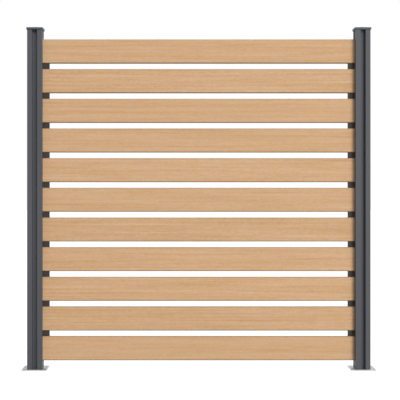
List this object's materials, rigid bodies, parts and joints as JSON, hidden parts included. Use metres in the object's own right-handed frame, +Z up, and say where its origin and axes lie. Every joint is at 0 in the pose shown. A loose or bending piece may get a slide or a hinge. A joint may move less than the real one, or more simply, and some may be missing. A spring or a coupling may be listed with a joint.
{
  "type": "garden privacy screen",
  "caption": "Slatted garden privacy screen: hollow boards stacked between grooved posts, with spacers in the gaps, post caps and bolt-down base plates.",
  "frame": {"origin": "on the ground, midway between the posts and in the middle of their depth", "axes": "+X along the screen, +Y from its front to its back, +Z up"},
  "size_m": [1.883, 0.133, 1.832],
  "materials": {
    "post_coating": "matte",
    "cap_plastic": "matte",
    "plate_steel": "satin",
    "screw_steel": "satin",
    "spacer_plastic": "matte",
    "board_composite": "satin"
  },
  "bodies": {
    "root": {"left_post": "post_coating", "left_post_cap": "cap_plastic", "left_base_plate": "plate_steel", "left_base_screws": "screw_steel", "left_bottom_support": "spacer_plastic", "left_spacer_01": "spacer_plastic", "left_spacer_02": "spacer_plastic", "left_spacer_03": "spacer_plastic", "left_spacer_04": "spacer_plastic", "left_spacer_05": "spacer_plastic", "left_spacer_06": "spacer_plastic", "left_spacer_07": "spacer_plastic", "left_spacer_08": "spacer_plastic", "left_spacer_09": "spacer_plastic", "left_spacer_10": "spacer_plastic", "right_post": "post_coating", "right_post_cap": "cap_plastic", "right_base_plate": "plate_steel", "right_base_screws": "screw_steel", "right_bottom_support": "spacer_plastic", "right_spacer_01": "spacer_plastic", "right_spacer_02": "spacer_plastic", "right_spacer_03": "spacer_plastic", "right_spacer_04": "spacer_plastic", "right_spacer_05": "spacer_plastic", "right_spacer_06": "spacer_plastic", "right_spacer_07": "spacer_plastic", "right_spacer_08": "spacer_plastic", "right_spacer_09": "spacer_plastic", "right_spacer_10": "spacer_plastic", "board_01": "board_composite", "board_02": "board_composite", "board_03": "board_composite", "board_04": "board_composite", "board_05": "board_composite", "board_06": "board_composite", "board_07": "board_composite", "board_08": "board_composite", "board_09": "board_composite", "board_10": "board_composite", "board_11": "board_composite"}
  },
  "joints": []
}
